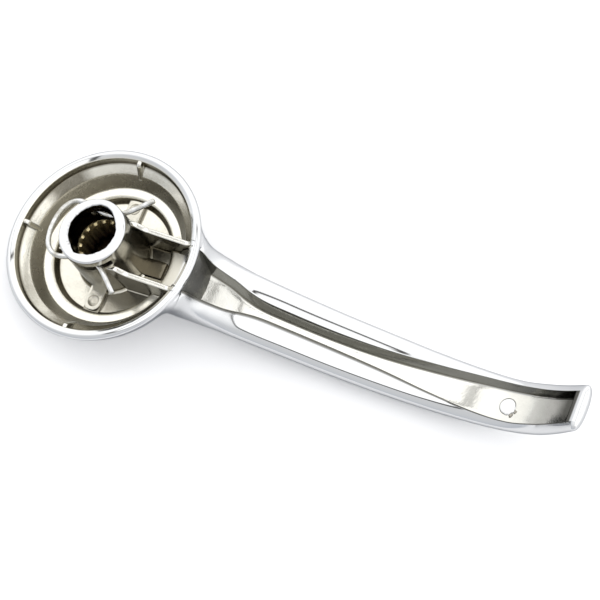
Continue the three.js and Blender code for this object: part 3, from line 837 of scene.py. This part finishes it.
burr = 0.16 * ease(np.cos(a + 0.75), 0.55, 0.95) * (1 + 0.5 * np.sin(a * 11))
rings = []
for radius, rise in ((1.75, -0.6), (1.72, 0.05), (1.66, 0.2), (1.52, 0.27), (1.2, 0.27), (0.5, 0.26)):
    r = radius + burr * (rise < 0.25)
    rings.append(on_channel_floor(r * np.cos(a), r * np.sin(a), rise))
pin_mark = skin("pin_mark", np.array(rings), sharp=45)
flash = []
for number, (degrees, reach, size) in enumerate(((-52, 2.0, 0.5), (-22, 2.1, 0.46), (-11, 3.2, 0.2))):
    away = np.radians(degrees)
    rings = []
    for share, rise in ((1.0, -0.3), (1.0, 0.05), (0.8, 0.2), (0.4, 0.26)):
        wavy = size * share * (1 + 0.18 * np.sin(3 * a + number))
        along, across = reach * math.cos(away) + wavy * np.cos(a), reach * math.sin(away) + wavy * np.sin(a)
        rings.append(on_channel_floor(along, across, rise))
    flash.append(skin("flash_%d" % (number + 1), np.array(rings), sharp=45))

# %% [markdown]
# ## Where the plating is bright
#
# The outside was polished before it was plated, so it is bright. The hollows were left as they came
# from the mould, so the same plating looks dull and warm there. The number "plated" is 1 on the
# polished skin and 0 in the hollows; "dull" says how much of the darker colour lies on a
# place, which is partly a bloom on the hollows and partly painted shade and painted reflection, and
# "satin" how far a place is from a mirror toward an even, soft sheen. On the boss the three follow
# the steps of the cup by radius, and painted reflections and shade that change round the spindle
# come from short tables.


# %% Mark the finish on the boss
def around(turn, *rows):
    """A value that runs smoothly through rows of (degrees, value) and closes after a whole turn."""
    rows = sorted(rows)
    rows = [(rows[-1][0] - 360, rows[-1][1]), *rows, (rows[0][0] + 360, rows[0][1])]
    return np.interp(turn, [row[0] for row in rows], [row[1] for row in rows])


p = corner_points(boss)
radius, turn = polar(p)
rim = ease(p[:, 2], 9.25, 9.5) * ease(radius, 18.3, 18.6)


def outer_side(start):
    """True on the boss's outside, which is all that lies below the middle of its wall or farther
    out than the radius where the rim starts."""
    return p[:, 2] < np.where(radius < start, wall_middle(radius), 20)


between = (p[:, 0] > 0) * (1 - ease(np.abs(p[:, 1]), 4.2, 4.7))
disc = 1 - ease(radius, 11.5, 11.8)
step = ease(radius, 11.6, 11.75) * (1 - ease(radius, 12.35, 12.6))
wall = ease(radius, 14.4, 14.6) * (1 - ease(radius, 16.2, 16.32))
shoulder = ease(radius, 16.25, 16.35) * (1 - ease(radius, 17.8, 17.95))
steep = ease(radius, 17.85, 17.95) * (1 - ease(p[:, 2], 9.35, 9.5)) * (1.0 - 0.55 * ease(p[:, 2], 8.35, 9.2))
# The next three tables paint reflection and shade round the spindle: darker patches on the shoulder, and painted
# shade on the rim's steep inside face and on part of the disc.
smudge = around(turn, (60, 0.1), (100, 0.0), (124, 0.0), (133, 0.85), (152, 0.8), (162, 0.05), (205, 0.0),
                (225, 0.35), (330, 0.4), (20, 0.15))
rim_dark = around(turn, (20, 0.5), (60, 0.7), (90, 1.0), (270, 1.0), (300, 0.7), (330, 0.5))
disc_dull = around(turn, (60, 0.1), (100, 0.1), (180, 0.15), (245, 0.2), (275, 0.3), (285, 0.75), (330, 0.8),
                   (340, 0.6))
# The step gets the full darker colour as painted shade at its foot; between the ribs the disc and the step get
# painted shade from the ribs instead.
dull = 0.66 * wall + shoulder * smudge + 1.0 * step + steep * rim_dark + disc * disc_dull
satin = between * ease(radius, 12.4, 12.7) * (1 - ease(p[:, 2], 8.6, 9.2)) + 0.35 * wall
mark(boss, plated=np.maximum(rim, outer_side(BOSS_RADIUS - 1.5) * 1.0),
     satin=np.where(outer_side(18.6), 0, np.clip(satin, 0, 1)),
     dull=np.clip(dull * (1 - between) + between * (0.6 * disc + 0.9 * step), 0, 1))

# %% [markdown]
# The hub is bright only on its mouth, less so where the plating is chipped off the inner edge. Its
# bore gets the full darker colour, partly the cast bore's own and partly painted shade deep in the
# hole, and round its outside a short table paints reflected shade. The crowns of ribs and fins were
# only brushed by the polishing wheel, and their flanks are dull; the two flanks that face each other
# carry painted shade besides. The pads are dull all over, the one toward the lever most, with
# painted shade on their sides.

# %% Mark the hub, the ribs, the fins and the pads
p = corner_points(hub)
radius, turn = polar(p)
waves = [np.sin(np.radians(turn * pace + start)) for pace, start in ((31, 20), (12, 0), (5, 60))]
chipped = ease(waves[0] * waves[1] * waves[2], 0.2, 0.8) * (1 - ease(radius, 5.0, 5.25))
# Painted shade: the bore is fully dark, and this table darkens the hub's outside on some sides as painted
# reflection.
outer_wall = around(turn, (0, 0.2), (35, 0.3), (60, 0.1), (300, 0.15), (325, 0.3))
mark(hub, plated=ease(p[:, 2], 14.55, 14.8) * ease(radius, 4.7, 4.95) * (0.95 - 0.7 * chipped),
     satin=0.1 * ease(p[:, 2], 14.9, 15.05), dull=np.where(radius > 6.3, outer_wall, 1.0))
for piece in (*ribs, *fins):
    p = corner_points(piece)
    radius = polar(p)[0]
    crown = ease(p[:, 2] - (rib_top(p[:, 0]) if piece in ribs else fin_top(radius)), -0.35, -0.1)
    # The flanks that face each other get extra painted shade.
    inner_flank = ease(RIB_Y - np.abs(p[:, 1]), 0.1, 0.3) * (radius < 18) * (piece in ribs)
    mark(piece, plated=0.35 * crown, dull=(0.5 + 0.5 * inner_flank) * (1 - crown))
for piece in pads:
    # Painted shade on the pads' sides, below their tops.
    below_top = ease(DISC + PAD_RISE - corner_points(piece)[:, 2], 0.05, 0.3)
    mark(piece, plated=0.0, dull=(0.75 if piece is pads[0] else 0.3) + 0.5 * below_top)
print("finish marked on", 2 + len(ribs) + len(fins) + len(pads), "pieces")

# %% [markdown]
# On the lever the change follows the channel's lip, which lies at the same place in every ring. The
# lip on the near side is dark from its edge on, and the one on the far side a little later; that
# difference between the sides and the darker lip edge are painted shade and painted reflection. The
# bloom then fades down the channel's wall and floor, and grows again toward the tip, where the
# darker colour is painted shade in the deep corner at the channel's end. The last two points of the
# lever close its two ends.

# %% Mark the lever
p = corner_points(lever)
row, along_lever = into_channel, p[:, 0]
near_side = p[:, 1] < 0
# The near side's lip is painted darker than the far side's, as painted reflection.
plated = 1 - np.where(near_side, ease(row, -1.2, 0.6), ease(row, 4, 7))
plated[-2:] = 1
# Painted shade along the lip's edge, stronger on the near side.
lip_edge = (1 - ease(row, 12.5, 13.5)) * np.where(near_side, 1.0, 0.8)
# The rise toward the tip in the next two tables is painted shade in the corner where the channel ends.
wall = np.interp(along_lever, [18, 30, 60, 90, 95], [0.25, 0.4, 0.42, 0.6, 1.0])
wall *= ease(row, 13, 14) * (1 - ease(row, 18, 28))
channel_floor = np.interp(along_lever, [18, 24, 32, 76, 84, 90, 94], [0.2, 0.12, 0.04, 0.0, 0.25, 0.6, 1.3])
channel_floor *= ease(row, 18, 28)
root = ease(along_lever, 17, 19) * (1 - ease(along_lever, 22, 29))
mark(lever, plated=np.maximum(plated, ease(along_lever, 95.0, 95.25)),
     satin=0.5 * root * (row < 4) * (p[:, 2] > -6),
     dull=np.clip(np.maximum(lip_edge, wall + channel_floor), 0, 1))
mark(pin_mark, plated=0.8, dull=0.0)
for piece in (pocket_wall, *flash):
    mark(piece, plated=0.0, dull=0.65 + 0.35 * ease(corner_points(piece)[:, 2], 0.5, 3.5))
print("finish marked on the lever, with", per_ring, "points in a ring")


# %% [markdown]
# ## Shared effects
#
# A material here is a small tree of nodes. One helper fills in a node's inputs, and the next places
# a node, fills it in and hands it back. An effect that several materials use is a group: its sockets
# are named, and each material fills them in with its own values.


# %% Place nodes
def fill(tree, node, inputs):
    """Links an input, by its name or number, to another node's output, or sets it to a value."""
    for key, value in inputs.items():
        if isinstance(value, bpy.types.NodeSocket):
            tree.links.new(value, node.inputs[key])
        else:
            node.inputs[key].default_value = value
    return node


def add(tree, kind, inputs=None, **settings):
    """A new node with its inputs and settings."""
    made = tree.nodes.new("ShaderNode" + kind)
    for key, value in settings.items():
        setattr(made, key, value)
    return fill(tree, made, inputs or {})


def scaled(tree, value, low, high, to_low=0.0, to_high=1.0):
    """A value taken from one range to another, and kept inside it."""
    keys = {"Value": value, "From Min": low, "From Max": high, "To Min": to_low, "To Max": to_high}
    return add(tree, "MapRange", keys).outputs[0]


def maths(tree, operation, a, b=0.0):
    return add(tree, "Math", {0: a, 1: b}, operation=operation).outputs[0]


def blended(tree, share, a, b):
    """A mix of two colours."""
    return add(tree, "Mix", {0: share, 6: a, 7: b}, data_type="RGBA").outputs[2]


def between_numbers(tree, share, a, b):
    return add(tree, "Mix", {0: share, 2: a, 3: b}, data_type="FLOAT").outputs[0]


def grain(tree, where, scale, detail=3.0, roughness=0.5):
    inputs = {"Vector": where, "Scale": scale, "Detail": detail, "Roughness": roughness}
    return add(tree, "TexNoise", inputs).outputs[0]


def along_way(tree, where, way):
    """How far a place lies along a direction, by their dot product."""
    return add(tree, "VectorMath", {0: where, 1: tuple(way)}, operation="DOT_PRODUCT").outputs["Value"]


def from_mesh(tree, name):
    """A number that mark() kept in the mesh."""
    return add(tree, "Attribute", attribute_type="GEOMETRY", attribute_name=name).outputs["Fac"]


def new_group(name, inputs, outputs):
    """An empty group with named sockets. inputs maps a name to its first value."""
    tree = bpy.data.node_groups.new(name, "ShaderNodeTree")
    for label, value in inputs.items():
        kind = "NodeSocketColor" if isinstance(value, tuple) else "NodeSocketFloat"
        tree.interface.new_socket(label, in_out="INPUT", socket_type=kind).default_value = value
    for label, kind in outputs.items():
        tree.interface.new_socket(label, in_out="OUTPUT", socket_type="NodeSocket" + kind)
    return tree, tree.nodes.new("NodeGroupInput").outputs, tree.nodes.new("NodeGroupOutput")


def new_material(name, inputs):
    """A material whose Principled shader has these inputs set, with its tree and that shader."""
    made = bpy.data.materials.new(name)
    made.use_nodes = True
    shader = made.node_tree.nodes["Principled BSDF"]
    return made, made.node_tree, fill(made.node_tree, shader, inputs)


def dress(material, *pieces):
    for piece in pieces:
        piece.data.materials.clear()
        piece.data.materials.append(material)


def colour(red, green, blue):
    """Linear values from the 0 to 255 values that a picture shows."""
    share = np.array([red, green, blue]) / 255
    linear = np.where(share < 0.04045, share / 12.92, ((share + 0.055) / 1.055) ** 2.4)
    return (*(float(v) for v in linear), 1.0)


# %% [markdown]
# The one group is plating over a casting. Its darker colour, "Bloom", stands for a bloom on
# the hollows and also for painted shade and painted reflection. Two noises of different size make
# that darker colour patchy, the finer of them is also the skin's grain, and a slow one makes the
# polished skin a little wavy, as real polished plating is. It gives a colour, a roughness and a
# height for a bump. Chrome throws back only some 60 % of the light, so "Bright" is a grey and it is
# the tent that makes it look white.

# %% Plating over a casting
tree, given, result = new_group(
    "plating_over_casting",
    {"Plated": 1.0, "Dull": 0.0, "Satin": 0.0, "Bright": colour(203, 204, 205), "Warm": colour(220, 217, 206),
     "Bloom": colour(108, 102, 88), "Patchiness": 0.2, "Bright Roughness": 0.05, "Cast Roughness": 0.19,
     "Grain": 1.0},
    {"Color": "Color", "Roughness": "Float", "Height": "Float"},
)
where = add(tree, "TexCoord").outputs["Object"]
slow, patch = grain(tree, where, 95.0, 2.0), grain(tree, where, 430.0, 5.0, 0.6)
fine = grain(tree, where, 3200.0, 2.0)
mixed = maths(tree, "ADD", maths(tree, "MULTIPLY", patch, 0.6), maths(tree, "MULTIPLY", fine, 0.4))
uneven = maths(tree, "MULTIPLY", maths(tree, "SUBTRACT", mixed, 0.5), given["Patchiness"])
bloom = maths(tree, "ADD", given["Dull"], maths(tree, "MULTIPLY", uneven, 2.4))
bloom.node.use_clamp = True
# Where dull is high the colour goes to Bloom: bloom on the hollows, and painted shade and painted reflection where
# the marks put it.
cast = blended(tree, bloom, given["Warm"], given["Bloom"])
rough_cast = maths(tree, "MULTIPLY", given["Cast Roughness"], scaled(tree, patch, 0.3, 0.7, 0.8, 1.25))
rough_bright = maths(tree, "MULTIPLY", given["Bright Roughness"], scaled(tree, slow, 0.3, 0.7, 0.75, 1.3))
polish = between_numbers(tree, given["Plated"], rough_cast, rough_bright)
skin_height = maths(tree, "ADD", maths(tree, "MULTIPLY", fine, 0.35), patch)
skin_height = maths(tree, "MULTIPLY", skin_height, given["Grain"])
fill(tree, result, {
    "Color": blended(tree, given["Plated"], cast, given["Bright"]),
    "Roughness": between_numbers(tree, given["Satin"], polish, 0.45),
    "Height": between_numbers(tree, given["Plated"], skin_height, maths(tree, "MULTIPLY", slow, 0.3)),
})
plating = tree
print("plating group:", len(plating.nodes), "nodes")

# %% [markdown]
# Each part of the casting has its own metal, which differs in how dark its bloom and painted shade
# are, how patchy and how rough. All metals turn white where they are seen at a glancing angle, and
# the grey Specular Tint keeps that edge a little darker than the paper, so that the outline stays
# visible.


# %% Metals of the casting
def plated_metal(name, **values):
    """A metal that takes its colour, roughness and bump from the plating group."""
    made, tree, shader = new_material(name, {"Metallic": 1.0, "Specular Tint": colour(168, 170, 174)})
    group = add(tree, "Group", node_tree=plating)
    fill(tree, group, {label: from_mesh(tree, label.lower()) for label in ("Plated", "Dull", "Satin")})
    fill(tree, group, {label.replace("_", " "): value for label, value in values.items()})
    bumped = add(tree, "Bump", {"Height": group.outputs["Height"], "Distance": 0.00002, "Strength": 1.0})
    color, roughness = group.outputs["Color"], group.outputs["Roughness"]
    fill(tree, shader, {"Base Color": color, "Roughness": roughness, "Normal": bumped.outputs[0]})
    return made


dress(plated_metal("boss_plating"), boss)
dress(plated_metal("lever_plating", Patchiness=0.12, Warm=colour(212, 211, 205), Bloom=colour(90, 89, 84),
                   Cast_Roughness=0.12), lever, pin_mark)
# The hub's very dark colour is partly the bore's own and partly painted shade in the deep bore.
dress(plated_metal("hub_plating", Bloom=colour(58, 50, 43), Patchiness=0.3), hub, *flash)
dress(plated_metal("rib_plating", Bloom=colour(98, 93, 80)), *ribs, *fins)
dress(plated_metal("pad_plating", Patchiness=0.25), *pads)
dress(plated_metal("rough_end_wall", Bloom=colour(138, 137, 134), Cast_Roughness=0.42, Grain=3.0,
                   Patchiness=0.9), pocket_wall)
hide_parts("handle_casting")
print("materials so far:", len(bpy.data.materials))

# %% [markdown]
# ## Steel
#
# The sleeve is plain steel that has gone a little rusty; its very dark colour is partly rust and
# partly painted shade deep in the bore, and its paler tooth ends are painted glints. The clip is
# bright drawn wire with a few greyer stains.

# %% Sleeve and clip
p = corner_points(sleeve)
radius = polar(p)[0]
# Painted glints on the teeth's top ends.
mark(sleeve, rubbed=ease(p[:, 2], SLEEVE_TOP - 0.7, SLEEVE_TOP - 0.15) * (1 - ease(radius, 4.85, 5.1)))
steel, tree, shader = new_material("sleeve_steel", {"Metallic": 1.0})
where = add(tree, "TexCoord").outputs["Object"]
blotch, speck = grain(tree, where, 520.0, 5.0, 0.65), grain(tree, where, 2400.0, 2.0)
# A very dark steel colour, partly rust and partly painted shade for the deep bore.
dark = blended(tree, scaled(tree, blotch, 0.42, 0.62), colour(30, 25, 23), colour(66, 38, 26))
pale = maths(tree, "MULTIPLY", from_mesh(tree, "rubbed"), scaled(tree, speck, 0.3, 0.5, 0.55, 1.0))
fill(tree, shader, {
    "Base Color": blended(tree, pale, dark, colour(240, 225, 178)),
    "Roughness": scaled(tree, blotch, 0.3, 0.7, 0.35, 0.65),
    "Normal": add(tree, "Bump", {"Height": speck, "Distance": 0.00003}).outputs[0],
})
dress(steel, sleeve)

wire, tree, shader = new_material("clip_wire", {"Metallic": 1.0})
where = add(tree, "TexCoord").outputs["Object"]
stain, drawn = grain(tree, where, 700.0, 3.0), grain(tree, where, 2600.0, 2.0)
fill(tree, shader, {
    "Base Color": blended(tree, scaled(tree, stain, 0.4, 0.75), colour(208, 209, 209), colour(160, 157, 146)),
    "Roughness": scaled(tree, stain, 0.3, 0.7, 0.16, 0.32),
    "Normal": add(tree, "Bump", {"Height": drawn, "Distance": 0.000008}).outputs[0],
})
dress(wire, clip)
print("materials:", [each.name for each in bpy.data.materials])

# %% [markdown]
# ## Studio
#
# The handle lies on its front on white paper, tilted as it would rest: on the boss's edge and on the
# lever's bow. The floor is seen from above only, so that a view from below shows the handle's front.
# Far off on the near side it is painted greyer, so that reflections in the lever's lower side come
# out darker.

# %% The floor
scene = bpy.context.scene
scene.view_settings.view_transform = "Standard"
TILT = math.radians(16.3)
plumb = np.array([math.sin(TILT), 0, math.cos(TILT)])
along_floor = np.array([math.cos(TILT), 0, -math.sin(TILT)])
everything = np.vstack([corner_points(o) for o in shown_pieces() if o.type == "MESH"])
lowest = float((everything @ plumb).min())
HALF_FLOOR = 900.0
sideways = np.array([0, 1, 0])
corners = [plumb * (lowest - 0.02) + along_floor * a * HALF_FLOOR + sideways * b * HALF_FLOOR
           for a, b in ((-1, -1), (1, -1), (1, 1), (-1, 1))]
floor_mesh = bpy.data.meshes.new("floor")
floor_mesh.from_pydata([tuple(c * MM) for c in corners], [], [(0, 1, 2, 3)])
floor = bpy.data.objects.new("floor", floor_mesh)
scene.collection.objects.link(floor)
floor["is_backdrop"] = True
paper, tree, shader = new_material("white_paper", {"Roughness": 0.8, "Specular IOR Level": 0.1})
# Painted reflection: the paper turns greyer far off on the near side, so that the lever's lower side mirrors a
# darker tone.
far = along_way(tree, add(tree, "TexCoord").outputs["Object"], -0.24 * along_floor - 0.97 * sideways)
shade = blended(tree, scaled(tree, far, 0.07, 0.16), colour(243, 243, 244), colour(200, 203, 208))
fill(tree, shader, {"Base Color": shade})
unseen = add(tree, "BsdfTransparent")
back_side = add(tree, "NewGeometry").outputs["Backfacing"]
seen = add(tree, "MixShader", {0: back_side, 1: shader.outputs[0], 2: unseen.outputs[0]})
fill(tree, tree.nodes["Material Output"], {0: seen.outputs[0]})
dress(paper, floor)
print("floor below the boss's face in mm:", round(-lowest, 2))

# %% [markdown]
# ## The light tent
#
# The light is a white tent all round, the world's background. Its ceiling is a little brighter than
# its walls, and one side of the walls is greyer and darker. The thin dark seam where ceiling and
# walls meet is what draws the fine dark lines on the polished lever, so it belongs to the light.
# Each side of the tent is a ramp over the height above the horizon, given in degrees.

# %% The light
world = bpy.data.worlds.new("studio")
scene.world = world
world.use_nodes = True
tree = world.node_tree
look = add(tree, "TexCoord").outputs["Generated"]
rise = along_way(tree, look, plumb)
GREY_SIDE, WALLS, GREYER_BY, CEILING = math.radians(256), 1.75, 0.72, 1.85
side = along_way(tree, look, math.cos(GREY_SIDE) * along_floor + math.sin(GREY_SIDE) * sideways)


def sine(degrees):
    return math.sin(math.radians(degrees))


def tent_side(tree, rise, rows):
    """A colour for each height, from rows of (degrees above the horizon, red, green, blue)."""
    ramp = add(tree, "ValToRGB", {0: scaled(tree, rise, -1.0, 1.0)})
    elements = ramp.color_ramp.elements
    elements.remove(elements[0])
    for number, (degrees, *shade) in enumerate(rows):
        at = (sine(degrees) + 1) / 2
        element = elements.new(at) if number else elements[0]
        element.position, element.color = at, colour(*shade)
    return ramp.outputs[0]


pale = [(-90, 238, 239, 242), (0, 244, 245, 246), (8, 255, 255, 254), (55.4, 255, 255, 255),
        (56.0, 66, 64, 60), (58.0, 66, 64, 60), (58.6, 255, 255, 255)]
greyer = [(-90, 222, 226, 233), (0, 226, 230, 237), (20, 240, 242, 246), (56.4, 248, 249, 250),
          (57.0, 46, 44, 41), (60.4, 46, 44, 41), (61.0, 255, 255, 255)]
towards_grey = scaled(tree, side, 0.0, 0.55)
walls = maths(tree, "SUBTRACT", WALLS, maths(tree, "MULTIPLY", towards_grey, GREYER_BY))
fill(tree, tree.nodes["Background"], {
    "Color": blended(tree, towards_grey, tent_side(tree, rise, pale), tent_side(tree, rise, greyer)),
    "Strength": scaled(tree, rise, sine(60.8), sine(62), walls, CEILING),
})
print("light tent ready, with", len(tree.nodes), "nodes")

# %% [markdown]
# The bounds of the dressed model are taken last, in metres.

# %% Finish
low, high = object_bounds()
